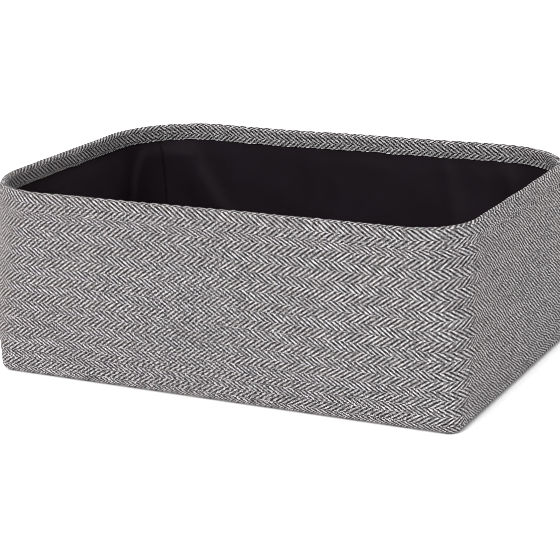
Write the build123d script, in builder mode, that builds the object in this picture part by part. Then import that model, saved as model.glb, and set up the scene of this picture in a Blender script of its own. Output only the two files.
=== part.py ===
from build123d import *
import math
import os

# Fabric storage bin: a tapering tub of herringbone cloth on a wire rim, stiffened by wall boards, with a
# sewn-in lining and a base insert that lifts out.
# The origin is the middle of the underside, +X runs along the bin, -Y is its front and +Z is up.
# All sizes are in millimetres.

# The whole bin, outside
BIN_HEIGHT = 160
RIM_LENGTH = 427
RIM_WIDTH = 289
BASE_LENGTH = 412
BASE_WIDTH = 263
BASE_CORNER_RADIUS = 11
BOTTOM_EDGE_RADIUS = 8

# The wire hoop is bent a little unevenly, so the rim's corners differ
FRONT_RIGHT_RIM_RADIUS = 46
BACK_RIGHT_RIM_RADIUS = 73
BACK_LEFT_RIM_RADIUS = 71
FRONT_LEFT_RIM_RADIUS = 70

# Layers of the wall, from the outside in
FABRIC_THICKNESS = 1.2
BOARD_THICKNESS = 1.6
LINING_THICKNESS = 0.7

# Rim: the outer fabric rolls over the wire and comes down inside as a hem
WIRE_DIAMETER = 2.8
WIRE_END_GAP = 0.6
SLEEVE_DIAMETER = 3.6
SLEEVE_LENGTH = 22
SLEEVE_CLEARANCE = 0.1
HEM_DEPTH = 15
STITCH_DEPTH = 13.5
WALL_TOP_CLEARANCE = 1

# Wall boards: trapezoids that end where the corners start to curve
BOARD_FOOT_LEVEL = 12
LONG_BOARD_FOOT = 374
LONG_BOARD_HEAD = 276
SHORT_BOARD_FOOT = 226
SHORT_BOARD_HEAD = 140

# Thread
TOPSTITCH_WIDTH = 0.6
TOPSTITCH_HEIGHT = 0.25
SEAM_WIDTH = 0.8
SEAM_HEIGHT = 0.4
SIDE_SEAM_THREAD_DIAMETER = 0.8
SIDE_SEAM_FOOT = 14

# Base panels of the outer fabric and of the lining
PANEL_MARGIN = 3
PANEL_CORNER_RADIUS = 6

# Lift-out base insert: a board in a cloth cover that turns in under it
INSERT_LENGTH = 392
INSERT_WIDTH = 244
INSERT_CORNER_RADIUS = 25
INSERT_BOARD_THICKNESS = 2.6
INSERT_CLEARANCE = 0.3
COVER_THICKNESS = 0.5
COVER_EDGE_RADIUS = 0.8
COVER_TURN_IN = 20

# Levels and insets that follow from the sizes above
rim_roll_radius = SLEEVE_DIAMETER / 2 + SLEEVE_CLEARANCE + FABRIC_THICKNESS
roll_width = 2 * rim_roll_radius
rim_level = BIN_HEIGHT - rim_roll_radius
hem_foot = BIN_HEIGHT - HEM_DEPTH
stitch_level = BIN_HEIGHT - STITCH_DEPTH
wall_top = rim_level - SLEEVE_DIAMETER / 2 - WALL_TOP_CLEARANCE
floor_level = FABRIC_THICKNESS + LINING_THICKNESS
insert_level = floor_level + INSERT_CLEARANCE
lining_inset = FABRIC_THICKNESS + BOARD_THICKNESS
inside_inset = lining_inset + LINING_THICKNESS
hem_inset = inside_inset + FABRIC_THICKNESS
rim_corner_radii = [
    FRONT_RIGHT_RIM_RADIUS,
    BACK_RIGHT_RIM_RADIUS,
    BACK_LEFT_RIM_RADIUS,
    FRONT_LEFT_RIM_RADIUS,
]


def between(low, high, level, low_level=0, high_level=rim_level):
    """The value at that level of a size that goes evenly from low to high."""
    return low + (high - low) * (level - low_level) / (high_level - low_level)


def half_length(level):
    return between(BASE_LENGTH, RIM_LENGTH, level) / 2


def half_width(level):
    return between(BASE_WIDTH, RIM_WIDTH, level) / 2


def outline(level, inset):
    """Draws the bin's outline at that level, moved in by inset, in the current BuildLine."""
    x = half_length(level) - inset
    y = half_width(level) - inset
    radii = [between(BASE_CORNER_RADIUS, radius, level) - inset for radius in rim_corner_radii]
    FilletPolyline((x, -y), (x, y), (-x, y), (-x, -y), radius=radii, close=True)


def slab(level, inset):
    """A filled section of the bin at that level."""
    with BuildSketch(Plane.XY.offset(level)) as section:
        with BuildLine():
            outline(level, inset)
        make_face()
    return section.sketch


def ring(level, outer_inset, inner_inset):
    """A section through one layer of the wall at that level."""
    with BuildSketch(Plane.XY.offset(level)) as section:
        with BuildLine():
            outline(level, outer_inset)
        make_face()
        with BuildLine():
            outline(level, inner_inset)
        make_face(mode=Mode.SUBTRACT)
    return section.sketch


def block(foot, head, inset, edge_radius):
    """A solid that fills the tapering bin between two levels, with its bottom edge rounded."""
    with BuildPart() as filled:
        loft([slab(foot, inset), slab(head, inset)], ruled=True)
        fillet(filled.edges().group_by(Axis.Z)[0], edge_radius)
    return filled.part


def shell(foot, head, inset, thickness, edge_radius):
    """One tub-shaped layer of the bin, open at the top."""
    with BuildPart() as layer:
        add(block(foot, head, inset, edge_radius))
        add(block(foot + thickness, head, inset + thickness, edge_radius - thickness), mode=Mode.SUBTRACT)
    return layer.part


def panel_sketch(level, margin, grow):
    """A rectangle with small round corners, margin in from the bin's base outline, made larger by grow."""
    with BuildSketch(Plane.XY.offset(level)) as panel:
        RectangleRounded(
            BASE_LENGTH - 2 * margin + 2 * grow,
            BASE_WIDTH - 2 * margin + 2 * grow,
            PANEL_CORNER_RADIUS + grow,
        )
    return panel.sketch


def seam_ring(top, margin):
    """The thread that fills the upper part of the seam round a base panel."""
    with BuildPart() as thread:
        extrude(panel_sketch(top - SEAM_HEIGHT, margin, SEAM_WIDTH), amount=SEAM_HEIGHT)
        extrude(panel_sketch(top - SEAM_HEIGHT, margin, 0), amount=SEAM_HEIGHT, mode=Mode.SUBTRACT)
    return thread.part


def wire_path():
    """The closed line that the rim wire follows."""
    with BuildLine(Plane.XY.offset(rim_level)) as path:
        outline(rim_level, rim_roll_radius)
    return path.wire()


def across(path):
    """The plane square to a path at its start, with its own X pointing up."""
    return Plane(origin=path @ 0, x_dir=(0, 0, 1), z_dir=path % 0)


def long_board(side):
    """The stiffener of the front wall, side -1, or the back wall, side 1."""
    with BuildPart() as board:
        for level, length in ((BOARD_FOOT_LEVEL, LONG_BOARD_FOOT), (wall_top, LONG_BOARD_HEAD)):
            middle = side * (half_width(level) - FABRIC_THICKNESS - BOARD_THICKNESS / 2)
            with BuildSketch(Plane.XY.offset(level)):
                with Locations((0, middle)):
                    Rectangle(length, BOARD_THICKNESS)
        loft(ruled=True)
    return board.part


def short_board(side):
    """The stiffener of the left wall, side -1, or the right wall, side 1."""
    with BuildPart() as board:
        for level, length in ((BOARD_FOOT_LEVEL, SHORT_BOARD_FOOT), (wall_top, SHORT_BOARD_HEAD)):
            middle = side * (half_length(level) - FABRIC_THICKNESS - BOARD_THICKNESS / 2)
            with BuildSketch(Plane.XY.offset(level)):
                with Locations((middle, 0)):
                    Rectangle(BOARD_THICKNESS, length)
        loft(ruled=True)
    return board.part


def back_left_corner(level, inset):
    """The point in the middle of the back left corner's curve at that level."""
    radius = between(BASE_CORNER_RADIUS, BACK_LEFT_RIM_RADIUS, level)
    reach = (radius - inset) * math.sqrt(0.5)
    x = -(half_length(level) - radius) - reach
    y = half_width(level) - radius + reach
    return Vector(x, y, level)


# Outer fabric: the wall, its rounded bottom edge, the roll over the wire and the hem inside the rim
outer_margin = BOTTOM_EDGE_RADIUS + PANEL_MARGIN
with BuildPart() as outer_wall_fabric:
    add(shell(0, rim_level, 0, FABRIC_THICKNESS, BOTTOM_EDGE_RADIUS))
    extrude(panel_sketch(0, outer_margin, SEAM_WIDTH), amount=FABRIC_THICKNESS, mode=Mode.SUBTRACT)
    path = wire_path()
    with BuildSketch(across(path)):
        Circle(rim_roll_radius)
        Circle(rim_roll_radius - FABRIC_THICKNESS, mode=Mode.SUBTRACT)
        Rectangle(roll_width, 2 * roll_width, align=(Align.MAX, Align.CENTER), mode=Mode.SUBTRACT)
    sweep(path=path)
    loft(
        [
            ring(hem_foot, inside_inset, hem_inset),
            ring(rim_level, roll_width - FABRIC_THICKNESS, roll_width),
        ],
        ruled=True,
    )

with BuildPart() as outer_base_panel:
    extrude(panel_sketch(0, outer_margin, 0), amount=FABRIC_THICKNESS)

with BuildPart() as base_seam_thread:
    add(seam_ring(FABRIC_THICKNESS, outer_margin))

# Rim wire: a hoop whose ends meet behind the bin inside a crimped sleeve
with BuildPart() as rim_wire:
    path = wire_path()
    with BuildSketch(across(path)):
        Circle(WIRE_DIAMETER / 2)
    sweep(path=path)
    wire_back = half_width(rim_level) - rim_roll_radius
    with Locations((0, wire_back, rim_level)):
        Box(WIRE_END_GAP, roll_width, roll_width, mode=Mode.SUBTRACT)

with BuildPart() as rim_wire_sleeve:
    with BuildSketch(Plane.YZ.offset(-SLEEVE_LENGTH / 2)):
        with Locations((wire_back, rim_level)):
            Circle(SLEEVE_DIAMETER / 2)
            Circle(WIRE_DIAMETER / 2, mode=Mode.SUBTRACT)
    extrude(amount=SLEEVE_LENGTH)

# Wall boards, between the outer fabric and the lining
with BuildPart() as front_board:
    add(long_board(-1))
with BuildPart() as back_board:
    add(long_board(1))
with BuildPart() as left_board:
    add(short_board(-1))
with BuildPart() as right_board:
    add(short_board(1))

# Lining: a wall piece with a rounded bottom edge, and a floor sewn into it
lining_edge_radius = BOTTOM_EDGE_RADIUS - FABRIC_THICKNESS
lining_margin = lining_inset + lining_edge_radius + PANEL_MARGIN
with BuildPart() as lining_wall:
    add(shell(FABRIC_THICKNESS, wall_top, lining_inset, LINING_THICKNESS, lining_edge_radius))
    extrude(panel_sketch(0, lining_margin, SEAM_WIDTH), amount=floor_level, mode=Mode.SUBTRACT)

with BuildPart() as lining_floor:
    extrude(panel_sketch(FABRIC_THICKNESS, lining_margin, 0), amount=LINING_THICKNESS)

with BuildPart() as lining_seam_thread:
    add(seam_ring(floor_level, lining_margin))


# Topstitching through the rim: the thread that shows outside and the thread that shows on the hem
def hem_face(level):
    """The inset of the hem's inner face at that level."""
    return between(hem_inset, roll_width, level, hem_foot, rim_level)


stitch_foot = stitch_level - TOPSTITCH_WIDTH / 2
stitch_head = stitch_level + TOPSTITCH_WIDTH / 2
with BuildPart() as rim_stitching:
    loft([ring(stitch_foot, -TOPSTITCH_HEIGHT, 0), ring(stitch_head, -TOPSTITCH_HEIGHT, 0)], ruled=True)
    loft(
        [
            ring(stitch_foot, hem_face(stitch_foot), hem_face(stitch_foot) + TOPSTITCH_HEIGHT),
            ring(stitch_head, hem_face(stitch_head), hem_face(stitch_head) + TOPSTITCH_HEIGHT),
        ],
        ruled=True,
    )

# The seam that closes the outer fabric into a tube runs up the back left corner
with BuildPart() as side_seam_thread:
    thread_inset = FABRIC_THICKNESS + SIDE_SEAM_THREAD_DIAMETER / 2
    seam = Line(back_left_corner(SIDE_SEAM_FOOT, thread_inset), back_left_corner(hem_foot, thread_inset))
    with BuildSketch(Plane(origin=seam @ 0, z_dir=seam % 0)):
        Circle(SIDE_SEAM_THREAD_DIAMETER / 2)
    sweep(path=seam)

# Base insert, lying on the lining's floor
insert_thickness = INSERT_BOARD_THICKNESS + 2 * COVER_THICKNESS
board_level = insert_level + COVER_THICKNESS
with BuildPart() as insert_board:
    with BuildSketch(Plane.XY.offset(board_level)):
        RectangleRounded(
            INSERT_LENGTH - 2 * COVER_THICKNESS,
            INSERT_WIDTH - 2 * COVER_THICKNESS,
            INSERT_CORNER_RADIUS - COVER_THICKNESS,
        )
    extrude(amount=INSERT_BOARD_THICKNESS)

with BuildPart() as insert_cover:
    with BuildSketch(Plane.XY.offset(insert_level)):
        RectangleRounded(INSERT_LENGTH, INSERT_WIDTH, INSERT_CORNER_RADIUS)
    extrude(amount=insert_thickness)
    fillet(insert_cover.edges().group_by(Axis.Z)[-1], COVER_EDGE_RADIUS)
    add(insert_board, mode=Mode.SUBTRACT)
    with BuildSketch(Plane.XY.offset(insert_level)):
        RectangleRounded(
            INSERT_LENGTH - 2 * COVER_TURN_IN,
            INSERT_WIDTH - 2 * COVER_TURN_IN,
            INSERT_CORNER_RADIUS - COVER_TURN_IN,
        )
    extrude(amount=COVER_THICKNESS, mode=Mode.SUBTRACT)

pieces = {
    "outer_wall_fabric": outer_wall_fabric,
    "outer_base_panel": outer_base_panel,
    "base_seam_thread": base_seam_thread,
    "side_seam_thread": side_seam_thread,
    "rim_wire": rim_wire,
    "rim_wire_sleeve": rim_wire_sleeve,
    "rim_stitching": rim_stitching,
    "front_board": front_board,
    "back_board": back_board,
    "left_board": left_board,
    "right_board": right_board,
    "lining_wall": lining_wall,
    "lining_floor": lining_floor,
    "lining_seam_thread": lining_seam_thread,
    "insert_board": insert_board,
    "insert_cover": insert_cover,
}

os.makedirs("parts", exist_ok=True)
for name, piece in pieces.items():
    piece.part.label = name
    export_step(piece.part, f"parts/{name}.step")
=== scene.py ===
import math
import random

import bmesh
import bpy
import numpy as np
from mathutils import Matrix, Vector


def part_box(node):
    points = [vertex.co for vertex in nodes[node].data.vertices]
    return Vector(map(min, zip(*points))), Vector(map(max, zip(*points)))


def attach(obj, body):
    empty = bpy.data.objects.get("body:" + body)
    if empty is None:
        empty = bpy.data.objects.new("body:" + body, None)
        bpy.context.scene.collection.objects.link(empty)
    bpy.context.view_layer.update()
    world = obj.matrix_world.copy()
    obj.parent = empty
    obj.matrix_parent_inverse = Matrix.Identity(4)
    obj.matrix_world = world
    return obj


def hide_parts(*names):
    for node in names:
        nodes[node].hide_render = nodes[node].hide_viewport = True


# A fabric storage bin. Metres throughout, in the CAD model's own frame: +X along the bin, -Y the front
# and +Z up.

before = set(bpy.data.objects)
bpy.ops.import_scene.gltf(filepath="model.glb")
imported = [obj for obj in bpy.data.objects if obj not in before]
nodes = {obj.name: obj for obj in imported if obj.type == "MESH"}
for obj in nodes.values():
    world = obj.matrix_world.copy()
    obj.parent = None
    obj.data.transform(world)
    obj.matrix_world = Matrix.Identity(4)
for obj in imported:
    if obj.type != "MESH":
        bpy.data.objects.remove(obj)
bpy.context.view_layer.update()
MM = 0.001

# ---------------------------------------------------------------- sizes

wall_low, wall_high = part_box("outer_wall_fabric")
panel_low, panel_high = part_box("outer_base_panel")
floor_low, floor_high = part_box("lining_floor")
cover_low, cover_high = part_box("insert_cover")
HEIGHT = wall_high[2]
RIM_LENGTH = wall_high[0] - wall_low[0]
RIM_WIDTH = wall_high[1] - wall_low[1]

# The base: the CAD panel stops short of the bin's sides, with a gap round it for its seam. Of that gap
# only a line stays open between the remade cloths.
BOTTOM_EDGE_RADIUS = 8 * MM
PANEL_MARGIN = 11 * MM
PANEL_CORNER_RADIUS = 6 * MM
SEAM_GAP = 0.8 * MM
SEAM_LINE = 0.05 * MM
BASE_LENGTH = panel_high[0] - panel_low[0] + 2 * PANEL_MARGIN
BASE_WIDTH = panel_high[1] - panel_low[1] + 2 * PANEL_MARGIN
BASE_CORNER_RADIUS = 11 * MM

# A wall's last steps under its edge to that seam, how far the outer cloth's edge rolls up at each, and
# the millimetres from a panel's edge to each of its steps
FLAP_STEP = 0.55 * MM
FLAP_POINTS = (4, 3, 2, 1)
ROLLED_EDGE = (0.75 * MM, 0.35 * MM, 0.15 * MM, 0.05 * MM)
PANEL_STEPS = (0, 0.25, 0.8, 1.8, 3.5, 6, 10, 16, 25, 38, 54, 72, 90, 108)

# Thickness of the cloths, and how far in from the outside the lining's back lies
FABRIC = 1.2 * MM
LINING = 0.7 * MM
COVER = 0.5 * MM
LINING_INSET = 2.8 * MM
LINING_MARGIN = (BASE_LENGTH - (floor_high[0] - floor_low[0])) / 2
LINING_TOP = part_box("lining_wall")[1][2]

# How far in the lining may hang and leave the insert free: at the floor, and more for each metre of level
LINING_ROOM = 4.3 * MM
LINING_ROOM_SLOPE = 0.045

# The insert: its corners, the roundness of its edge and the cloth turned in under its board
INSERT_CORNER_RADIUS = 25 * MM
INSERT_EDGE = 1.3 * MM
TURN_IN = 20 * MM

# The rim: the cloth's roll over the wire, the hem inside the bin and the topstitching through both. The
# stitches pull the outside in, and the hem out by a share of that.
ROLL = 3.1 * MM
RIM_LEVEL = HEIGHT - ROLL
HEM_FOOT = HEIGHT - 15 * MM
HEM_INSET = LINING_INSET + LINING + FABRIC
STITCH_LEVEL = HEIGHT - 14 * MM
STITCH_PITCH = 3.8 * MM
STITCH_LENGTH = 3.1 * MM
STITCH_WIDTH = 0.55 * MM
STITCH_PROUD = 0.28 * MM
HEM_DIP_SHARE = 0.7

# Sign of x, sign of y, rim radius and the angle at which the corner's arc starts, in degrees
CORNERS = (
    (1, -1, 46 * MM, -90),
    (1, 1, 73 * MM, 0),
    (-1, 1, 71 * MM, 90),
    (-1, -1, 70 * MM, 180),
)
BACK_LEFT = 2
FRONT_LEFT = 3

# Herringbone weave: the rows run round the bin, and a twill repeat is six yarns wide
ROW_HEIGHT = 7.9 * MM
ROW_START = 2.7 * MM
STROKE_PITCH = 4.93 * MM
PICKS_PER_ROW = 13
YARNS_PER_STROKE = 6

# How far the rows climb in one round of the bin, and the cloth that the stitches take up and that is
# eased in over the belly of the wall and down to its foot
ROW_DRIFT = 3.0 * MM
STITCH_TUCK = 2.1 * MM
BELLY_EASE = 0.9 * MM
FOOT_EASE = 3.7 * MM

# How far round its corner's arc the lining's seam wanders from top to bottom, as a share of the arc
SEAM_SLANT = 0.27

# Folds at the lining's other three corners: (share of the way round the bin, rise, width)
CORNER_FOLDS = (
    (0.235, 2.4 * MM, 9 * MM),
    (0.285, 1.8 * MM, 7 * MM),
    (0.495, 2.6 * MM, 8 * MM),
    (0.525, 1.6 * MM, 6 * MM),
    (0.745, 2.6 * MM, 9 * MM),
    (0.785, 2.0 * MM, 7 * MM),
)

# Smooth noise that moves the rim up and down and in and out: how far, its size and its seed
RIM_WAVE = 0.32 * MM
RIM_WAVE_SIZE = 110 * MM
RIM_WAVE_SEED = 7
RIM_SWAY = 0.3 * MM
RIM_SWAY_SIZE = 40 * MM
RIM_SWAY_SEED = 6


# ---------------------------------------------------------------- the tapering rounded outline

def corner_point(index, turn, level, inset):
    """Points on a corner's arc: turn is the share of the arc. turn, level and inset may be arrays."""
    sign_x, sign_y, rim_radius, start = CORNERS[index]
    share = level / RIM_LEVEL
    radius = BASE_CORNER_RADIUS + share * (rim_radius - BASE_CORNER_RADIUS)
    half_length = (BASE_LENGTH + share * (RIM_LENGTH - BASE_LENGTH)) / 2
    half_width = (BASE_WIDTH + share * (RIM_WIDTH - BASE_WIDTH)) / 2
    angle = np.radians(start + 90 * turn)
    x = sign_x * (half_length - radius) + (radius - inset) * np.cos(angle)
    y = sign_y * (half_width - radius) + (radius - inset) * np.sin(angle)
    return np.stack([x, y], axis=-1)


def panel_corner_point(index, turn, half_size, radius):
    """The same place on a flat panel's outline, whose corners all have that radius."""
    sign_x, sign_y, _, start = CORNERS[index]
    angle = math.radians(start + 90 * turn)
    return np.array([
        sign_x * (half_size[0] - radius) + radius * math.cos(angle),
        sign_y * (half_size[1] - radius) + radius * math.sin(angle),
    ])


def round_the_bin(per_corner, per_long_wall, per_short_wall):
    """Stations from the back left seam, anticlockwise from above, back to it. Each is (corner, turn,
    share of the way to the next corner), and they are closer together beside the seam."""
    half = per_corner // 2
    even = [0.5 * k / half for k in range(1, half)]
    beside_seam = [0, 0.004, 0.012, 0.024]
    fine = beside_seam + [turn for turn in even if turn > 0.03]
    stations = [(BACK_LEFT, 0.5 + turn, 0) for turn in fine]
    for corner in (BACK_LEFT, FRONT_LEFT, 0, 1):
        count = per_short_wall if corner in (BACK_LEFT, 0) else per_long_wall
        stations += [(corner, 1, k / count) for k in range(count)]
        following = (corner + 1) % 4
        if following != BACK_LEFT:
            stations += [(following, k / per_corner, 0) for k in range(per_corner)]
    stations += [(BACK_LEFT, 0.5 - turn, 0) for turn in [0.5] + fine[::-1]]
    return stations


def at_station(station, corner_place):
    """The station's point, where corner_place gives the points of the corners' arcs."""
    corner, turn, along = station
    here = corner_place(corner, turn)
    if along == 0:
        return here
    return here + along * (corner_place((corner + 1) % 4, 0) - here)


def station_normal(station):
    """The way that the bin's outside faces at a station, level with the floor."""
    angle = math.radians(CORNERS[station[0]][3] + 90 * station[1])
    return np.array([math.cos(angle), math.sin(angle)])


def distances(points):
    """Distance along each column of points, from its first row."""
    steps = np.linalg.norm(np.diff(points, axis=0), axis=-1)
    return np.concatenate([np.zeros((1,) + steps.shape[1:]), np.cumsum(steps, axis=0)])


def from_front(stations, distance, outer):
    """The same distances, measured from the middle of the front wall."""
    front = next(k for k, s in enumerate(stations) if s[0] == FRONT_LEFT and s[1] == 1)
    return distance + outer[front, ..., 0] - distance[front]


def rim_places(stations):
    """How far round the rim each station is, from the middle of the front wall."""
    outer = np.array([at_station(s, lambda c, t: corner_point(c, t, RIM_LEVEL, 0.0)) for s in stations])
    return from_front(stations, distances(outer), outer)


def wall_grid(stations, levels, insets, seam_shares, margin, slants=None):
    """Points and distances round the bin for each station (rows) and each step of a profile (columns).
    seam_shares says how far each step has gone over from the outline to the base panel's outline, and
    slants how far round its corner's arc each point is moved."""
    if slants is None:
        slants = np.zeros(levels.shape)
    points = np.zeros(levels.shape + (3,))
    outer = np.zeros(levels.shape + (2,))
    half_size = (BASE_LENGTH / 2 - margin + SEAM_GAP, BASE_WIDTH / 2 - margin + SEAM_GAP)
    radius = PANEL_CORNER_RADIUS + SEAM_GAP
    shares = np.asarray(seam_shares)[:, None]
    for k, station in enumerate(stations):
        flat = at_station(station, lambda c, t: corner_point(c, t + slants[k], levels[k], insets[k]))
        edge = at_station(station, lambda c, t: panel_corner_point(c, t, half_size, radius))
        points[k, :, :2] = flat + shares * (edge - flat)
        points[k, :, 2] = levels[k]
        outer[k] = at_station(station, lambda c, t: corner_point(c, t + slants[k], levels[k], 0.0))
    return points, from_front(stations, distances(outer), outer)


def panel_outline(stations, half_size, radius):
    """The point of a flat panel's outline at each station."""
    return np.array([
        at_station(station, lambda c, t: panel_corner_point(c, t, half_size, radius))
        for station in stations
    ])


def panel_grid(stations, half_size, radius, insets, levels):
    """Points of a flat panel for each station (rows), each step further in from its edge (columns), as
    far as the spine down its middle."""
    edge = panel_outline(stations, half_size, radius)
    spine = half_size[0] - half_size[1]
    target = np.stack([np.clip(edge[:, 0], -spine, spine), np.zeros(len(edge))], axis=-1)
    shares = (np.asarray(insets) / half_size[1])[None, :, None]
    flat = edge[:, None, :] + shares * (target - edge)[:, None, :]
    return np.concatenate([flat, np.broadcast_to(levels, flat.shape[:2])[..., None]], axis=2)


# ---------------------------------------------------------------- meshes

def new_mesh(name, vertices, faces, uv, body):
    """A smooth mesh object that rides on a body. uv is one (u, v) for each vertex, in metres along the
    cloth."""
    mesh = bpy.data.meshes.new(name)
    mesh.from_pydata(np.asarray(vertices).tolist(), [], faces)
    mesh.polygons.foreach_set("use_smooth", [True] * len(mesh.polygons))
    layer = mesh.uv_layers.new(name="Weave")
    loops = np.empty(len(mesh.loops), int)
    mesh.loops.foreach_get("vertex_index", loops)
    layer.data.foreach_set("uv", np.asarray(uv, float)[loops].ravel())
    mesh.validate()
    face_outwards(mesh)
    piece = bpy.data.objects.new(name, mesh)
    bpy.context.scene.collection.objects.link(piece)
    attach(piece, body)
    return piece


def face_outwards(mesh):
    """Turns a closed mesh's faces round if they face inwards."""
    work = bmesh.new()
    work.from_mesh(mesh)
    if work.calc_volume(signed=True) < 0:
        bmesh.ops.reverse_faces(work, faces=work.faces)
    work.to_mesh(mesh)
    work.free()


def merge_close(piece):
    """Joins the vertices that fall on one point, as along a panel's spine."""
    work = bmesh.new()
    work.from_mesh(piece.data)
    bmesh.ops.remove_doubles(work, verts=work.verts, dist=0.01 * MM)
    work.to_mesh(piece.data)
    work.free()


def finish_piece(piece, material, slot, *replaced):
    """Gives a piece its material and hides the CAD nodes that it stands for. slot is not used."""
    piece.data.materials.append(material)
    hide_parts(*replaced)


def grid_faces(rows, columns, closed_rows=False, closed_columns=False, start=0, gap=None):
    """Quads of a grid of vertices numbered row by row. gap is a column to leave open."""
    faces = []
    for r in range(rows if closed_rows else rows - 1):
        for c in range(columns if closed_columns else columns - 1):
            if c == gap:
                continue
            a = start + r * columns + c
            b = start + r * columns + (c + 1) % columns
            d = start + ((r + 1) % rows) * columns + c
            e = start + ((r + 1) % rows) * columns + (c + 1) % columns
            faces.append((a, d, e, b))
    return faces


def end_caps(rows, columns, start=0):
    """The two faces that close a strip's ends, at its first and its last row."""
    first = tuple(start + c for c in range(columns))
    last = tuple(start + (rows - 1) * columns + c for c in reversed(range(columns)))
    return [first, last]


def arc(centre_inset, centre_level, radius, start, end, count):
    """Profile points (inset, level) along an arc: 0 degrees points into the bin and 90 up."""
    points = []
    for k in range(count + 1):
        angle = math.radians(start + (end - start) * k / count)
        points.append((centre_inset + radius * math.cos(angle), centre_level + radius * math.sin(angle)))
    return points


def straight(start, end, count):
    """Profile points from start towards end, without the two ends."""
    return [
        (start[0] + (end[0] - start[0]) * k / count, start[1] + (end[1] - start[1]) * k / count)
        for k in range(1, count)
    ]


def flap(inset, level):
    """Profile points of a wall's last steps to the base seam, from the seam outwards."""
    return [(inset + k * FLAP_STEP, level) for k in FLAP_POINTS]


def shares_to_seam(count):
    """How far each of a profile's points has gone over to the base panel's outline, where the profile
    starts and ends with a flap."""
    going = [k / len(FLAP_POINTS) for k in FLAP_POINTS]
    return going + [0.0] * (count - 2 * len(FLAP_POINTS)) + going[::-1]


def lengths_along(profile):
    """Distance along a profile to each of its points."""
    profile = np.asarray(profile)
    return np.concatenate([[0], np.cumsum(np.linalg.norm(np.diff(profile, axis=0), axis=1))])


def ripple(x, y, size, seed):
    """Smooth noise from about -1 to 1, made of a few sine waves of about that size."""
    draw = random.Random(seed)
    total = 0
    for _ in range(7):
        direction = draw.uniform(0, math.pi)
        wave = 2 * math.pi / (size * draw.uniform(0.75, 1.6))
        across = x * math.cos(direction) + y * math.sin(direction)
        total = total + np.sin(wave * across + draw.uniform(0, 7))
    return total / 3.2


def ramp(value, low, high):
    """0 below low, 1 above high and a smooth step between."""
    share = np.clip((value - low) / (high - low), 0, 1)
    return share * share * (3 - 2 * share)


def hill(value, width):
    """1 where the value is 0, falling to nothing over about twice the width."""
    return np.exp(-(value / width) ** 2)


# ---------------------------------------------------------------- shader nodes

class Tree:
    """A material's node tree, with short ways to add the usual nodes. A value is an output of another
    node or a constant."""

    def __init__(self, name):
        self.material = bpy.data.materials.new(name)
        self.material.use_nodes = True
        self.nodes = self.material.node_tree.nodes
        self.links = self.material.node_tree.links
        self.shader = self.nodes["Principled BSDF"]

    def feed(self, socket, value):
        """Links an output to the socket, or sets it to a constant."""
        if isinstance(value, bpy.types.NodeSocket):
            self.links.new(value, socket)
        elif value is not None:
            socket.default_value = value

    def math(self, operation, *values):
        node = self.nodes.new("ShaderNodeMath")
        node.operation = operation
        for socket, value in zip(node.inputs, values):
            self.feed(socket, value)
        return node.outputs[0]

    def sum(self, first, second):
        return self.math("ADD", first, second)

    def product(self, first, second):
        return self.math("MULTIPLY", first, second)

    def split(self, vector):
        """The three numbers of a vector."""
        node = self.nodes.new("ShaderNodeSeparateXYZ")
        self.feed(node.inputs[0], vector)
        return node.outputs

    def uv(self):
        """The two distances along the cloth, in metres."""
        pin = self.nodes.new("ShaderNodeUVMap")
        pin.uv_map = "Weave"
        u, v, _ = self.split(pin.outputs["UV"])
        return u, v

    def place(self):
        """The point in the piece's own space, in metres."""
        return self.nodes.new("ShaderNodeTexCoord").outputs["Object"]

    def vector(self, x, y, z=0.0):
        node = self.nodes.new("ShaderNodeCombineXYZ")
        for socket, value in zip(node.inputs, (x, y, z)):
            self.feed(socket, value)
        return node.outputs[0]

    def noise(self, vector, scale, detail=2.0, roughness=0.5):
        node = self.nodes.new("ShaderNodeTexNoise")
        self.feed(node.inputs["Vector"], vector)
        node.inputs["Scale"].default_value = scale
        node.inputs["Detail"].default_value = detail
        node.inputs["Roughness"].default_value = roughness
        return node.outputs["Fac"]

    def random(self, x, y):
        """A number from 0 to 1 that is the same all over each whole-numbered cell."""
        node = self.nodes.new("ShaderNodeTexWhiteNoise")
        node.noise_dimensions = "2D"
        self.feed(node.inputs["Vector"], self.vector(x, y))
        return node.outputs["Value"]

    def span(self, value, low, high, to_low=0.0, to_high=1.0):
        """value from low to high, as to_low to to_high, clamped."""
        node = self.nodes.new("ShaderNodeMapRange")
        limits = {"From Min": low, "From Max": high, "To Min": to_low, "To Max": to_high}
        for name, number in limits.items():
            node.inputs[name].default_value = number
        self.feed(node.inputs["Value"], value)
        return node.outputs["Result"]

    def mix(self, share, first, second):
        """A colour between two others."""
        node = self.nodes.new("ShaderNodeMix")
        node.data_type = "RGBA"
        self.feed(node.inputs["Factor"], share)
        self.feed(node.inputs["A"], first)
        self.feed(node.inputs["B"], second)
        return node.outputs["Result"]

    def bump(self, height, distance, strength=1.0, under=None):
        """A normal for that relief, on top of another normal."""
        node = self.nodes.new("ShaderNodeBump")
        node.inputs["Strength"].default_value = strength
        node.inputs["Distance"].default_value = distance
        self.feed(node.inputs["Height"], height)
        if under is not None:
            self.feed(node.inputs["Normal"], under)
        return node.outputs["Normal"]

    def set(self, **values):
        """Feeds the shader's own sockets."""
        for name, value in values.items():
            self.feed(self.shader.inputs[name.replace("_", " ")], value)


# ---------------------------------------------------------------- materials

WHITE_YARN = (0.58, 0.554, 0.566, 1)
SHADED_YARN = (0.112, 0.106, 0.109, 1)
BLACK_YARN = (0.006, 0.0055, 0.0058, 1)
WORN_YARN = (0.15, 0.143, 0.147, 1)


def unsteady(t, distance, noise, reach):
    """The distance along the cloth, shifted to and fro by a noise."""
    return t.sum(distance, t.product(t.math("SUBTRACT", noise, 0.5), reach))


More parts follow.
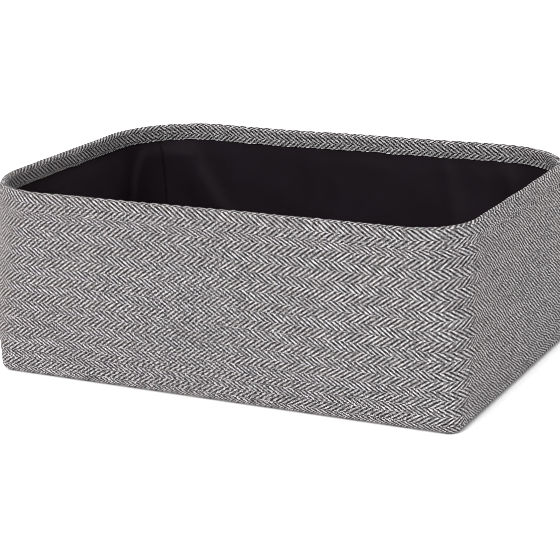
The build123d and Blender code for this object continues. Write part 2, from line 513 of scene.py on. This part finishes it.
def white_on_top(t, end_number, pick_number):
    """1 where the off-white yarn lies over the black one: a three-over-three twill that turns back and
    steps half a repeat at each row."""
    turned = t.math("PINGPONG", t.sum(pick_number, 0.5), float(PICKS_PER_ROW))
    row_number = t.math("FLOOR", t.math("DIVIDE", t.sum(pick_number, 0.5), float(PICKS_PER_ROW)))
    broken = t.product(row_number, YARNS_PER_STROKE / 2)
    twill = t.sum(t.math("SUBTRACT", end_number, turned), broken)
    step = t.math("FLOORED_MODULO", t.sum(twill, 0.5), float(YARNS_PER_STROKE))
    return t.math("LESS_THAN", step, YARNS_PER_STROKE / 2)


def roundness(t, yarn):
    """The height of a round yarn across its width, where yarn counts the yarns."""
    across = t.math("SUBTRACT", t.math("FRACT", yarn), 0.5)
    return t.math("SUBTRACT", 1.0, t.product(t.math("POWER", across, 2.0), 3.2))


def heathered(t, end_number, pick_number):
    """A tone from 0 to 1 for each crossing, mostly shared by two picks."""
    float_tone = t.random(end_number, t.math("FLOOR", t.math("DIVIDE", pick_number, 2.0)))
    speck = t.random(end_number, pick_number)
    return t.sum(t.product(float_tone, 0.75), t.product(speck, 0.25))


def herringbone():
    """Black yarn along the rows and off-white yarn across them. The yarns are uneven in tone and wander a
    little, as in a heathered cloth. The off-white yarn is painted darker towards its edges by its
    roundness: painted shade."""
    t = Tree("herringbone_cloth")
    u, v = t.uv()
    u = unsteady(t, u, t.noise(t.vector(u, v), 60, 2), 1.4 * MM)
    v = unsteady(t, v, t.noise(t.vector(v, u), 35, 1), 0.9 * MM)
    end = t.math("DIVIDE", u, STROKE_PITCH / YARNS_PER_STROKE)
    pick = t.math("DIVIDE", t.math("SUBTRACT", v, ROW_START), ROW_HEIGHT / PICKS_PER_ROW)
    end_number = t.math("FLOOR", end)
    pick_number = t.math("FLOOR", pick)
    white_up = white_on_top(t, end_number, pick_number)
    black_up = t.math("SUBTRACT", 1.0, white_up)
    crown = t.sum(t.product(white_up, roundness(t, end)), t.product(black_up, roundness(t, pick)))

    fibre = t.noise(t.vector(u, v), 900, 2)
    slub = t.noise(t.vector(t.product(end_number, 0.37), t.product(v, 120)), 1.0, 1)
    heather = heathered(t, end_number, pick_number)
    patch = t.span(t.noise(t.place(), 14, 2), 0.35, 0.65, 0.95, 1.0)
    worn = t.product(patch, t.span(fibre, 0.3, 0.7, 0.85, 1.0))
    # Painted shade: the off-white yarn darkens towards its edges, following its roundness, on top of
    # random wear
    wear_and_painted_shade = t.product(worn, t.span(crown, 0.2, 1.0, 0.6, 1.0))
    uneven = t.product(heather, t.span(slub, 0.3, 0.6, 0.7, 1.0))
    white = t.mix(t.span(uneven, 0.05, 0.62), SHADED_YARN, WHITE_YARN)
    black = t.mix(t.span(t.math("SUBTRACT", 1.0, heather), 0.45, 0.95), BLACK_YARN, WORN_YARN)
    lit = t.mix(wear_and_painted_shade, (0, 0, 0, 1), white)
    t.set(Base_Color=t.mix(white_up, black, lit), Roughness=t.span(fibre, 0.2, 0.8, 0.78, 0.92))
    t.set(Sheen_Weight=0.02, Sheen_Roughness=0.5, Specular_IOR_Level=0.2)
    fuzz = t.bump(fibre, 0.05 * MM, 0.6)
    t.set(Normal=t.bump(crown, 0.25 * MM, 1.0, fuzz))
    return t.material


def lining_cloth(name, deep, light, thread):
    """Thin plain-woven black polyester with a faint warm sheen. thread is the spacing of its yarns."""
    t = Tree(name)
    u, v = t.uv()
    across = t.math("SINE", t.product(u, 2 * math.pi / thread))
    along = t.math("SINE", t.product(v, 2 * math.pi / thread))
    weave = t.product(across, along)
    fibre = t.noise(t.vector(u, v), 1500, 2)
    patch = t.noise(t.place(), 18, 3)
    tone = t.sum(t.product(patch, 0.7), t.product(fibre, 0.3))
    t.set(Base_Color=t.mix(t.span(tone, 0.35, 0.65), deep, light))
    t.set(Roughness=t.span(weave, -1, 1, 0.6, 0.74), Specular_IOR_Level=0.07)
    t.set(Sheen_Weight=0.03, Sheen_Roughness=0.4, Sheen_Tint=(1.0, 0.82, 0.95, 1))
    t.set(Normal=t.bump(weave, 0.05 * MM, 0.5, t.bump(fibre, 0.03 * MM, 0.5)))
    return t.material


def twisted(t, first, second, dark, pale):
    """Colours a thread by its plies, which cross it at a slant. first and second are the two ways over
    the thread, each as (distance, spacing of the plies)."""
    slant = t.sum(t.math("DIVIDE", *first), t.math("DIVIDE", *second))
    ply = t.math("SINE", t.product(slant, 2 * math.pi))
    hair = t.noise(t.place(), 2200, 2)
    t.set(Base_Color=t.mix(t.span(t.sum(ply, hair), -0.6, 1.6), dark, pale))
    t.set(Roughness=t.span(hair, 0.2, 0.8, 0.45, 0.7), Normal=t.bump(ply, 0.05 * MM, 0.8))


def sewing_thread(name, dark, pale, gloss):
    """Twisted thread of the stitches."""
    t = Tree(name)
    u, v = t.uv()
    twisted(t, (u, 0.5 * MM), (v, 0.8 * MM), dark, pale)
    t.set(Specular_IOR_Level=gloss, Sheen_Weight=0.3 * gloss)
    return t.material


def bonded_thread():
    """Thread with no cloth coordinates, for the seam inside the corner: its plies slant up the seam."""
    t = Tree("bonded_thread")
    x, _, z = t.split(t.place())
    twisted(t, (z, 0.9 * MM), (x, 0.7 * MM), (0.16, 0.155, 0.16, 1), (0.5, 0.49, 0.5, 1))
    return t.material


def greyboard():
    """Grey paperboard: pressed fibre with paler and darker flecks."""
    t = Tree("greyboard_fibre")
    place = t.place()
    pulp = t.noise(place, 140, 4, 0.65)
    flecks = t.noise(place, 900, 3, 0.7)
    base = t.mix(t.span(pulp, 0.35, 0.65), (0.24, 0.215, 0.185, 1), (0.36, 0.33, 0.29, 1))
    dark = t.mix(t.span(flecks, 0.62, 0.72), base, (0.11, 0.1, 0.09, 1))
    t.set(Base_Color=t.mix(t.span(flecks, 0.38, 0.3), dark, (0.55, 0.53, 0.49, 1)))
    t.set(Roughness=t.span(pulp, 0.3, 0.7, 0.8, 0.95), Specular_IOR_Level=0.3)
    t.set(Normal=t.bump(flecks, 0.08 * MM, 0.7, t.bump(pulp, 0.15 * MM, 0.5)))
    return t.material


def drawn_wire():
    """Zinc-plated spring steel, a little mottled."""
    t = Tree("zinc_wire")
    mottle = t.noise(t.place(), 160, 3)
    scratch = t.noise(t.place(), 1800, 2)
    t.set(Base_Color=t.mix(t.span(mottle, 0.3, 0.7), (0.50, 0.50, 0.51, 1), (0.68, 0.69, 0.71, 1)))
    t.set(Metallic=1.0, Roughness=t.span(scratch, 0.3, 0.7, 0.26, 0.44))
    t.set(Normal=t.bump(scratch, 0.02 * MM, 0.5))
    return t.material


def crimped_sleeve():
    """Dull steel sleeve with the crimping tool's marks across it."""
    t = Tree("crimped_steel")
    x, _, _ = t.split(t.place())
    marks = t.math("SINE", t.product(x, 2 * math.pi / (3.6 * MM)))
    wear = t.noise(t.place(), 600, 3)
    t.set(Base_Color=t.mix(t.span(wear, 0.3, 0.7), (0.30, 0.29, 0.28, 1), (0.48, 0.47, 0.45, 1)))
    t.set(Metallic=1.0, Roughness=t.span(wear, 0.3, 0.7, 0.35, 0.6))
    t.set(Normal=t.bump(t.span(marks, 0.3, 0.9), 0.2 * MM, 0.9, t.bump(wear, 0.03 * MM, 0.5)))
    return t.material


LINING_DEEP = (0.0045, 0.0027, 0.0042, 1)
LINING_LIGHT = (0.0076, 0.0048, 0.0073, 1)
COVER_DEEP = (0.0060, 0.0050, 0.0058, 1)
COVER_LIGHT = (0.0125, 0.0105, 0.0120, 1)

cloth = herringbone()
lining = lining_cloth("lining_cloth", LINING_DEEP, LINING_LIGHT, 0.5 * MM)
cover_cloth = lining_cloth("insert_cloth", COVER_DEEP, COVER_LIGHT, 0.7 * MM)
grey_thread = sewing_thread("grey_thread", (0.10, 0.098, 0.10, 1), (0.36, 0.35, 0.36, 1), 0.4)
black_thread = sewing_thread("black_thread", (0.002, 0.0018, 0.002, 1), (0.007, 0.0063, 0.007, 1), 0.12)

# ---------------------------------------------------------------- outer cloth

def wall_swell(place, level):
    """How far the cloth stands out from the boards behind it."""
    broad = 0.3 * MM * ripple(place, level, 80 * MM, 3)
    fine = 0.13 * MM * ripple(place, level, 24 * MM, 4)
    swell = np.clip(0.35 * MM + broad + fine, 0, 0.9 * MM) * ramp(level, 4 * MM, 20 * MM)
    fullness = 0.35 * MM * hill(level - (STITCH_LEVEL - 9 * MM), 8 * MM)
    belly = 2.2 * MM * ramp(level, 6 * MM, 45 * MM) * (1 - ramp(level, 60 * MM, 135 * MM))
    return swell + fullness + belly


def stitch_dip(place, level):
    """How far the topstitching pulls the cloth in, deeper between some stitches than others."""
    depth = 0.8 * MM + 0.15 * MM * ripple(place, level, 11 * MM, 5)
    return depth * hill(level - STITCH_LEVEL, 1.1 * MM)


def near_rim(level):
    """1 at the rim, falling to nothing some way under the hem."""
    return ramp(level, HEM_FOOT - 25 * MM, RIM_LEVEL)


def rim_wave(place, level):
    """How far the rim stands up from its level."""
    return RIM_WAVE * ripple(place, 0 * level, RIM_WAVE_SIZE, RIM_WAVE_SEED) * near_rim(level)


def rim_sway(place, level):
    """How far the rim stands out from its line."""
    return RIM_SWAY * ripple(place, level, RIM_SWAY_SIZE, RIM_SWAY_SEED) * near_rim(level)


def seam_dip(distance):
    """How far the seam up the back left corner pulls the cloth in, on both sides of the join."""
    span_left = np.minimum(distance - distance[0], distance[-1] - distance)
    return 0.75 * MM * hill(span_left, 1.3 * MM)


def outer_face():
    """The outer cloth's section as (inset, level) points, from the base seam up the outside, over the
    wire and down to the hem's foot."""
    below_stitch = STITCH_LEVEL - 3 * MM
    above_stitch = STITCH_LEVEL + 3 * MM
    foot_radius = FABRIC / 2
    return (
        flap(BOTTOM_EDGE_RADIUS, 0.0)
        + arc(BOTTOM_EDGE_RADIUS, BOTTOM_EDGE_RADIUS, BOTTOM_EDGE_RADIUS, 270, 180, 8)
        + straight((0, BOTTOM_EDGE_RADIUS), (0, below_stitch), 34)
        + [(0, below_stitch)]
        + straight((0, below_stitch), (0, above_stitch), 12)
        + [(0, above_stitch)]
        + straight((0, above_stitch), (0, RIM_LEVEL), 4)
        + arc(ROLL, RIM_LEVEL, ROLL, 180, 0, 14)
        + straight((2 * ROLL, RIM_LEVEL), (HEM_INSET, HEM_FOOT), 14)
        + arc(HEM_INSET - foot_radius, HEM_FOOT + foot_radius, foot_radius, 0, -180, 6)
    )


def inner_face():
    """The same cloth's inner side, from the hem's foot back over the wire and down to the base seam."""
    return (
        straight((HEM_INSET - FABRIC, HEM_FOOT), (2 * ROLL - FABRIC, RIM_LEVEL), 3)
        + arc(ROLL, RIM_LEVEL, ROLL - FABRIC, 0, 180, 8)
        + straight((FABRIC, RIM_LEVEL), (FABRIC, BOTTOM_EDGE_RADIUS), 16)
        + arc(BOTTOM_EDGE_RADIUS, BOTTOM_EDGE_RADIUS, BOTTOM_EDGE_RADIUS - FABRIC, 180, 270, 5)
        + flap(BOTTOM_EDGE_RADIUS, FABRIC)[::-1]
    )


def outer_inwards(place, insets, levels, on_face):
    """How far the outer cloth's points move in from its plain section. on_face is true on its outer
    face."""
    outside = on_face & (insets < 0.5 * MM)
    on_hem = on_face & (insets > HEM_INSET - 0.1 * MM) & (levels > HEM_FOOT)
    below_roll = 1 - ramp(levels, RIM_LEVEL - 6 * MM, RIM_LEVEL)
    dip = stitch_dip(place, levels)
    wall = outside * (dip - below_roll * wall_swell(place, levels))
    return wall - on_hem * HEM_DIP_SHARE * dip - rim_sway(place, levels)


def outer_upwards(place, insets, levels):
    """How far the outer cloth's points move up from its plain section: the rim waves, and so does the
    hem's lower edge."""
    wave = 0.35 * MM * ripple(place, 0 * levels, 26 * MM, 8)
    hem_edge = (insets > 3 * MM) & (levels > HEM_FOOT - 3 * MM)
    hem = wave * (1 - ramp(levels, HEM_FOOT, HEM_FOOT + 6 * MM)) * hem_edge
    return rim_wave(place, levels) + hem


def cloth_down(profile):
    """How far down the cloth each profile point is from the top of the rim, with the cloth that the
    stitches take up and that is eased in."""
    along = lengths_along(profile)
    top = int(np.argmax(np.asarray(profile)[:, 1]))
    down = along[top] - along
    stitches = HEIGHT - STITCH_LEVEL
    down = down + STITCH_TUCK * ramp(down, stitches + 3 * MM, stitches + 7 * MM)
    down = down + BELLY_EASE * ramp(down, 50 * MM, 92 * MM)
    return down + FOOT_EASE * (np.clip(down - 94 * MM, 0, None) / (60 * MM)) ** 2


def make_outer_cloth():
    """The herringbone wall with its bottom edge, its roll over the wire and its hem, as one strip that is
    joined at the back left corner."""
    stations = round_the_bin(28, 84, 56)
    face = outer_face()
    profile = face + inner_face()
    on_face = np.arange(len(profile)) < len(face)
    base_insets, base_levels = np.array(profile).T
    place = rim_places(stations)[:, None]
    insets = base_insets + outer_inwards(place, base_insets, base_levels, on_face)
    levels = base_levels + outer_upwards(place, base_insets, base_levels)
    levels[:, :len(ROLLED_EDGE)] += ROLLED_EDGE

    points, around = wall_grid(stations, levels, insets, shares_to_seam(len(profile)), PANEL_MARGIN)
    outward = np.array([station_normal(s) for s in stations])
    points[:, :, :2] -= (seam_dip(around) * on_face)[..., None] * outward[:, None, :]
    drift = ROW_DRIFT * place / (place[-1] - place[0])
    uv = np.stack([around, cloth_down(profile) - drift], axis=-1)
    faces = grid_faces(*levels.shape, closed_columns=True) + end_caps(*levels.shape)
    outer = new_mesh("outer_cloth", points.reshape(-1, 3), faces, uv.reshape(-1, 2), "bin")
    finish_piece(outer, cloth, "herringbone", "outer_wall_fabric")
    return outer


def make_panel(name, node, shown, rolled, thickness, seed, material, slot):
    """A flat base panel with a softly rolled edge. shown is 1 for a panel seen from above and -1 for one
    seen from below, and rolled is how far its edge turns away."""
    low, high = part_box(node)
    stations = round_the_bin(16, 44, 30)[:-1]
    spread = SEAM_GAP - SEAM_LINE
    half_size = ((high[0] - low[0]) / 2 + spread, (high[1] - low[1]) / 2 + spread)
    radius = PANEL_CORNER_RADIUS + spread
    insets = np.array([step * MM for step in PANEL_STEPS] + [half_size[1]])
    near, far = (high[2], low[2]) if shown > 0 else (low[2], high[2])
    roll = rolled * np.exp(-insets / (1.1 * MM))
    seen = panel_grid(stations, half_size, radius, insets, near - shown * roll)
    x, y = seen[..., 0], seen[..., 1]
    quilt = np.clip(0.6 + 0.5 * ripple(x, y, 60 * MM, seed), 0.1, 1)
    pucker = np.clip(0.5 + 0.5 * ripple(x, y, 9 * MM, seed + 1), 0, 1) * hill(insets - 4 * MM, 5 * MM)
    seen[..., 2] -= shown * thickness * (0.22 * quilt + 0.2 * pucker)
    hidden = panel_grid(stations, half_size, radius, insets[::-1], np.full(len(insets), far))
    points = np.concatenate([seen, hidden], axis=1)
    rows, columns = points.shape[:2]
    faces = grid_faces(rows, columns, closed_rows=True, closed_columns=True, gap=len(insets) - 1)
    uv = points[..., :2]
    panel = new_mesh(name, points.reshape(-1, 3), faces, uv.reshape(-1, 2), "bin")
    merge_close(panel)
    finish_piece(panel, material, slot, node)
    return panel


# ---------------------------------------------------------------- stitches

def stitch_row(line, normals, pitch, length, width, proud, seed):
    """Vertices, faces and uv of separate stitches along a closed line of points. Each stitch is a short
    length of thread that rises out of the cloth and goes back in."""
    draw = random.Random(seed)
    closed = np.concatenate([line, line[:1]])
    faced = np.concatenate([normals, normals[:1]])
    reach = distances(closed)
    count = int(round(reach[-1] / pitch))
    pitch = reach[-1] / count
    turns = np.radians(np.arange(0, 360, 60))
    shares = np.array([-1.0, -0.82, -0.5, 0.0, 0.5, 0.82, 1.0])
    vertices, faces, uv = [], [], []
    for k in range(count):
        lean = draw.uniform(-0.12, 0.12) * width
        middle = (k + 0.5) * pitch + draw.uniform(-0.04, 0.04) * pitch
        places = middle + shares * length / 2
        centre = np.stack([np.interp(places, reach, closed[:, i]) for i in range(3)], axis=-1)
        out = np.stack([np.interp(places, reach, faced[:, i]) for i in range(3)], axis=-1)
        out /= np.linalg.norm(out, axis=1, keepdims=True)
        ahead = np.gradient(centre, axis=0)
        ahead /= np.linalg.norm(ahead, axis=1, keepdims=True)
        side = np.cross(ahead, out)
        rise = proud * (1 - shares ** 4)[:, None] - 0.3 * width
        centre = centre + rise * out + (lean * shares)[:, None] * side
        plump = (0.55 + 0.45 * np.sqrt(1 - 0.9 * shares ** 2))[:, None, None]
        sideways = np.cos(turns)[None, :, None] * side[:, None, :]
        outwards = 0.7 * np.sin(turns)[None, :, None] * out[:, None, :]
        ring = centre[:, None, :] + 0.5 * width * plump * (sideways + outwards)
        start = len(vertices)
        vertices.extend(ring.reshape(-1, 3))
        faces += grid_faces(len(shares), len(turns), closed_columns=True, start=start)
        faces += end_caps(len(shares), len(turns), start)
        uv.extend((p, width * a / 2) for p in places for a in turns)
    return vertices, faces, uv


def join_rows(rows):
    """Several rows of stitches as one."""
    vertices, faces, uv = [], [], []
    for row_vertices, row_faces, row_uv in rows:
        faces += [tuple(v + len(vertices) for v in face) for face in row_faces]
        vertices += row_vertices
        uv += row_uv
    return vertices, faces, uv


def rim_line(level, inset, dip_share, swell_share, inward):
    """A closed line round the rim at the bottom of the stitches' groove, with the way that the cloth
    faces."""
    stations = round_the_bin(60, 200, 130)[:-1]
    place = rim_places(stations)
    levels = level + rim_wave(place, level)
    dips = dip_share * stitch_dip(place, np.full(len(place), level))
    insets = inset + dips - swell_share * wall_swell(place, level) - rim_sway(place, level)
    line = np.zeros((len(stations), 3))
    facing = np.zeros((len(stations), 3))
    for k, station in enumerate(stations):
        line[k, :2] = at_station(station, lambda c, t: corner_point(c, t, level, insets[k]))
        line[k, 2] = levels[k]
        facing[k, :2] = station_normal(station) * (-1 if inward else 1)
    return line, facing


def make_rim_stitches():
    """The topstitching through the rim: a row outside and a row on the hem."""
    share = (STITCH_LEVEL - HEM_FOOT) / (RIM_LEVEL - HEM_FOOT)
    hem_inset = HEM_INSET + share * (2 * ROLL - HEM_INSET)
    outside = rim_line(STITCH_LEVEL, 0.0, 1, 1, False)
    on_hem = rim_line(STITCH_LEVEL, hem_inset, -HEM_DIP_SHARE, 0, True)
    size = (STITCH_PITCH, STITCH_LENGTH, STITCH_WIDTH, STITCH_PROUD)
    rows = [stitch_row(*outside, *size, 11), stitch_row(*on_hem, *size, 12)]
    stitches = new_mesh("rim_topstitches", *join_rows(rows), "bin")
    finish_piece(stitches, grey_thread, "thread", "rim_stitching")
    return stitches


def make_panel_stitches(name, node, facing_up, pitch, width, material, slot):
    """Stitches in the gap round a base panel."""
    low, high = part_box(node)
    stations = round_the_bin(16, 44, 30)[:-1]
    inwards = SEAM_GAP / 2
    half_size = ((high[0] - low[0]) / 2 - inwards, (high[1] - low[1]) / 2 - inwards)
    flat = panel_outline(stations, half_size, PANEL_CORNER_RADIUS + inwards)
    level = high[2] - 0.2 * MM if facing_up else low[2] + 0.22 * MM
    line = np.concatenate([flat, np.full((len(stations), 1), level)], axis=1)
    facing = np.tile((0, 0, 1 if facing_up else -1), (len(stations), 1))
    row = stitch_row(line, facing, pitch, 0.84 * pitch, width, 0.12 * MM, 13)
    stitches = new_mesh(name, *row, "bin")
    finish_piece(stitches, material, slot, node)
    return stitches


# ---------------------------------------------------------------- lining

def fold(place, level, foot, head, rise, rising_side, falling_side):
    """A fold of the lining along the slanting line between two (place, level) points. Its side towards a
    greater place slopes over falling_side, and the other over rising_side."""
    slope = (head[0] - foot[0]) / (head[1] - foot[1])
    line = foot[0] + slope * (level - foot[1])
    beyond = place - line
    width = np.where(beyond > 0, falling_side, rising_side)
    reach = ramp(level, foot[1] - 25 * MM, foot[1] + 5 * MM)
    return rise * hill(beyond, width) * reach


def lining_relief(place, level):
    """How far the lining hangs in from the boards. place is measured round the rim from the back left
    corner's middle, anticlockwise from above, and a clockwise place is negative."""
    loose = 0.9 * MM + 0.8 * MM * ripple(place, level * 0.6, 120 * MM, 21)
    loose = loose + 0.3 * MM * ripple(place, level, 34 * MM, 22)
    crease = np.minimum(29 * MM + 0.8 * (136 * MM - level), 88 * MM)
    fullness = 1.2 * MM + 6.2 * MM * (1 - ramp(level, 96 * MM, 140 * MM))
    along_left = ramp(place, crease, crease + 30 * MM) * (1 - ramp(place, 130 * MM, 230 * MM))
    in_corner = ramp(place, -60 * MM, -15 * MM) * (1 - ramp(place, crease - 14 * MM, crease - 2 * MM))
    foot, head = (84 * MM, 84 * MM), (34 * MM, 138 * MM)
    diagonal = fold(-place, level, foot, head, rise=3.8 * MM, rising_side=26 * MM, falling_side=8 * MM)
    back_sag = 2.2 * MM * hill(place + 250 * MM, 90 * MM) * hill(level - 80 * MM, 40 * MM)
    return loose + fullness * along_left + 3.5 * MM * in_corner + diagonal + back_sag


def corner_folds(place, perimeter):
    """Soft upright folds at the other three corners, where the lining has more cloth than it needs."""
    return sum(rise * hill(place - share * perimeter, width) for share, rise, width in CORNER_FOLDS)


def lining_profile():
    """The lining's section, from the floor's seam up its face and down its back to the seam. Returns
    (inset, level) points and how many of them are on the face."""
    radius = BOTTOM_EDGE_RADIUS - FABRIC
    centre = (LINING_INSET + radius, FABRIC + radius)
    face_inset = LINING_INSET + LINING
    face = (
        flap(centre[0], FABRIC + LINING)
        + arc(*centre, radius - LINING, 270, 180, 6)
        + straight((face_inset, centre[1]), (face_inset, LINING_TOP), 52)
        + [(face_inset, LINING_TOP)]
    )
    back = (
        [(LINING_INSET, LINING_TOP)]
        + straight((LINING_INSET, LINING_TOP), (LINING_INSET, centre[1]), 52)
        + arc(*centre, radius, 180, 270, 6)
        + flap(centre[0], FABRIC)[::-1]
    )
    return face + back, len(face)


def seam_slants(stations, level):
    """How far round the back left corner's arc each point moves to make the lining's seam slant: most in
    the arc's middle and nothing at its ends."""
    in_corner = [s[1] if s[0] == BACK_LEFT and s[2] == 0 else 0.0 for s in stations]
    turns = np.array(in_corner)[:, None]
    return SEAM_SLANT * (level - LINING_TOP) / LINING_TOP * (1 - abs(2 * turns - 1))


def lining_inwards(rim, slants, level):
    """How far the lining hangs in at each point. It lies flat on the boards at the floor and under the
    hem, and always leaves the insert free."""
    perimeter = rim[-1] - rim[0]
    place = rim - rim[0]
    signed = np.where(place > perimeter / 2, place - perimeter, place)
    signed = signed + slants * math.radians(90) * CORNERS[BACK_LEFT][2]
    relief = lining_relief(signed, level) + corner_folds(place, perimeter)
    relief = np.clip(relief, 0, LINING_ROOM + LINING_ROOM_SLOPE * level)
    seam = 1.5 * MM * hill(np.minimum(place, perimeter - place), 1.3 * MM)
    under_hem = ramp(level, HEM_FOOT - 14 * MM, HEM_FOOT + 1 * MM)
    return ramp(level, 10 * MM, 45 * MM) * (1 - under_hem) * (relief - seam)


def make_lining():
    """The lining's wall, with its folds, as one strip that is joined at the back left corner."""
    stations = round_the_bin(88, 110, 76)
    profile, face_count = lining_profile()
    base_insets, base_levels = np.array(profile).T
    slants = seam_slants(stations, base_levels)
    inwards = lining_inwards(rim_places(stations)[:, None], slants, base_levels)
    on_face = np.arange(len(profile)) < face_count
    boards = np.where(on_face, LINING_INSET + LINING, LINING_INSET)
    insets = np.maximum(base_insets + inwards, boards)
    levels = np.tile(base_levels, (len(stations), 1))
    shares = shares_to_seam(len(profile))
    points, around = wall_grid(stations, levels, insets, shares, LINING_MARGIN, slants)
    along = np.tile(lengths_along(profile), (len(stations), 1))
    uv = np.stack([around, along], axis=-1)
    faces = grid_faces(*levels.shape, closed_columns=True) + end_caps(*levels.shape)
    piece = new_mesh("lining_cloth_wall", points.reshape(-1, 3), faces, uv.reshape(-1, 2), "bin")
    finish_piece(piece, lining, "lining", "lining_wall")
    return piece


# ---------------------------------------------------------------- insert

def cover_profile(low, high, middle):
    """The cover's section, from the cloth turned in under the board, round the edge and over the top to
    the middle, and back along its inside. Returns (inset, level) points and how many are outside."""
    edge = INSERT_EDGE
    core = INSERT_EDGE - COVER
    crossing = [d * MM for d in (2.5, 5, 9, 14)] + [d * 8 * MM for d in range(3, 15)]
    outside = (
        [(TURN_IN, low + 0.1 * MM)]
        + [(d * MM, low) for d in (19, 16, 12, 8, 4)]
        + arc(edge, low + edge, edge, 270, 180, 5)
        + arc(edge, high - edge, edge, 180, 90, 5)
        + [(inset, high) for inset in crossing]
        + [(middle, high)]
    )
    inside = (
        [(middle, high - COVER)]
        + [(inset, high - COVER) for inset in crossing[::-1]]
        + arc(edge, high - edge, core, 90, 180, 4)
        + arc(edge, low + edge, core, 180, 270, 4)
        + [(d * MM, low + COVER) for d in (4, 8, 12, 16, 19, 20)]
    )
    return outside + inside, len(outside)


def make_insert_cover():
    """The cloth round the insert's board: a flat top, soft edges and a strip turned in underneath."""
    stations = round_the_bin(20, 60, 40)[:-1]
    half_size = ((cover_high[0] - cover_low[0]) / 2, (cover_high[1] - cover_low[1]) / 2)
    low, high = cover_low[2], cover_high[2]
    profile, outside_count = cover_profile(low, high, half_size[1])
    insets, levels = np.array(profile).T
    points = panel_grid(stations, half_size, INSERT_CORNER_RADIUS, insets, levels)
    x, y = points[..., 0], points[..., 1]
    near_edge = 1 - ramp(insets, 15 * MM, 40 * MM)
    puff = 0.16 * MM * (1 + ripple(x, y, 70 * MM, 31))
    puff = puff + 0.05 * MM * ripple(x, y, 18 * MM, 32) * near_edge
    on_top = (np.arange(len(profile)) < outside_count) & (levels > (low + high) / 2)
    points[..., 2] += puff * ramp(insets, 0.5 * MM, 8 * MM) * on_top
    rows, columns = points.shape[:2]
    faces = grid_faces(rows, columns, closed_rows=True, closed_columns=True, gap=outside_count - 1)
    uv = points[..., :2]
    cover = new_mesh("insert_cloth_cover", points.reshape(-1, 3), faces, uv.reshape(-1, 2), "insert")
    merge_close(cover)
    finish_piece(cover, cover_cloth, "lining", "insert_cover")
    return cover


# ---------------------------------------------------------------- pieces

outer_cloth = make_outer_cloth()
base_cloth = make_panel(
    "outer_base_cloth", "outer_base_panel", -1, 0.75 * MM, FABRIC, 41, cloth, "herringbone"
)
floor_cloth = make_panel("lining_floor_cloth", "lining_floor", 1, 0.3 * MM, LINING, 43, lining, "lining")
lining_wall = make_lining()
insert_cloth = make_insert_cover()
rim_stitches = make_rim_stitches()
base_stitches = make_panel_stitches(
    "base_seam_stitches", "base_seam_thread", False, 3.2 * MM, 0.6 * MM, grey_thread, "thread"
)
floor_stitches = make_panel_stitches(
    "lining_seam_stitches", "lining_seam_thread", True, 2.8 * MM, 0.5 * MM, black_thread, "lining_thread"
)

# These CAD pieces keep their shapes and get materials only
kept_materials = {
    "front_board": greyboard(),
    "rim_wire": drawn_wire(),
    "rim_wire_sleeve": crimped_sleeve(),
    "side_seam_thread": bonded_thread(),
}
for name in ("back_board", "left_board", "right_board", "insert_board"):
    kept_materials[name] = kept_materials["front_board"]
for name, material in kept_materials.items():
    nodes[name].data.materials.clear()
    nodes[name].data.materials.append(material)

# ---------------------------------------------------------------- stage, light and camera

def stage():
    """A pale floor far larger than the bin."""
    size = 6.0
    corners = [(-size, -size, 0), (size, -size, 0), (size, size, 0), (-size, size, 0)]
    mesh = bpy.data.meshes.new("floor")
    mesh.from_pydata(corners, [], [(0, 1, 2, 3)])
    floor = bpy.data.objects.new("floor", mesh)
    bpy.context.scene.collection.objects.link(floor)
    t = Tree("floor_paint")
    t.set(Base_Color=(0.97, 0.97, 0.97, 1), Roughness=0.9, Specular_IOR_Level=0.0)
    mesh.materials.append(t.material)


def sun_light(name, towards, strength, softness):
    """A broad, even light from that direction. softness is the angle that it fills, in degrees."""
    light = bpy.data.lights.new(name, "SUN")
    light.energy = strength
    light.angle = math.radians(softness)
    lamp = bpy.data.objects.new(name, light)
    lamp.rotation_euler = Vector(towards).to_track_quat("Z", "Y").to_euler()
    bpy.context.scene.collection.objects.link(lamp)


def camera():
    """The view from the front right. The bin's middle sits a little right of and above the picture's."""
    azimuth, elevation, roll = (math.radians(a) for a in (27.56, 16.31, 2.0))
    depth = 1.5007
    right_of_middle, above_middle = 4.25 * MM, 15.57 * MM
    middle = Vector((0, 0, HEIGHT / 2))
    back = Vector((
        math.sin(azimuth) * math.cos(elevation),
        -math.cos(azimuth) * math.cos(elevation),
        math.sin(elevation),
    ))
    level_right = Vector((0, 0, 1)).cross(back).normalized()
    level_up = back.cross(level_right)
    right = math.cos(roll) * level_right - math.sin(roll) * level_up
    up = math.sin(roll) * level_right + math.cos(roll) * level_up
    place = middle + depth * back - right_of_middle * right - above_middle * up
    data = bpy.data.cameras.new("camera")
    data.sensor_width = 36
    data.lens = 115.56
    eye = bpy.data.objects.new("camera", data)
    eye.matrix_world = Matrix.Translation(place) @ Matrix((right, up, back)).transposed().to_4x4()
    bpy.context.scene.collection.objects.link(eye)
    bpy.context.scene.camera = eye


def light():
    """Even white light from all round, and a broad sun from the front."""
    world = bpy.data.worlds.new("studio")
    world.use_nodes = True
    world.node_tree.nodes["Background"].inputs["Color"].default_value = (1, 1, 1, 1)
    world.node_tree.nodes["Background"].inputs["Strength"].default_value = 1.0
    bpy.context.scene.world = world
    sun_light("key", (0.1, -0.8, 0.6), 3.2, 30)
    bpy.context.scene.view_settings.view_transform = "Standard"
    bpy.context.scene.cycles.filter_width = 0.5


stage()
light()
camera()
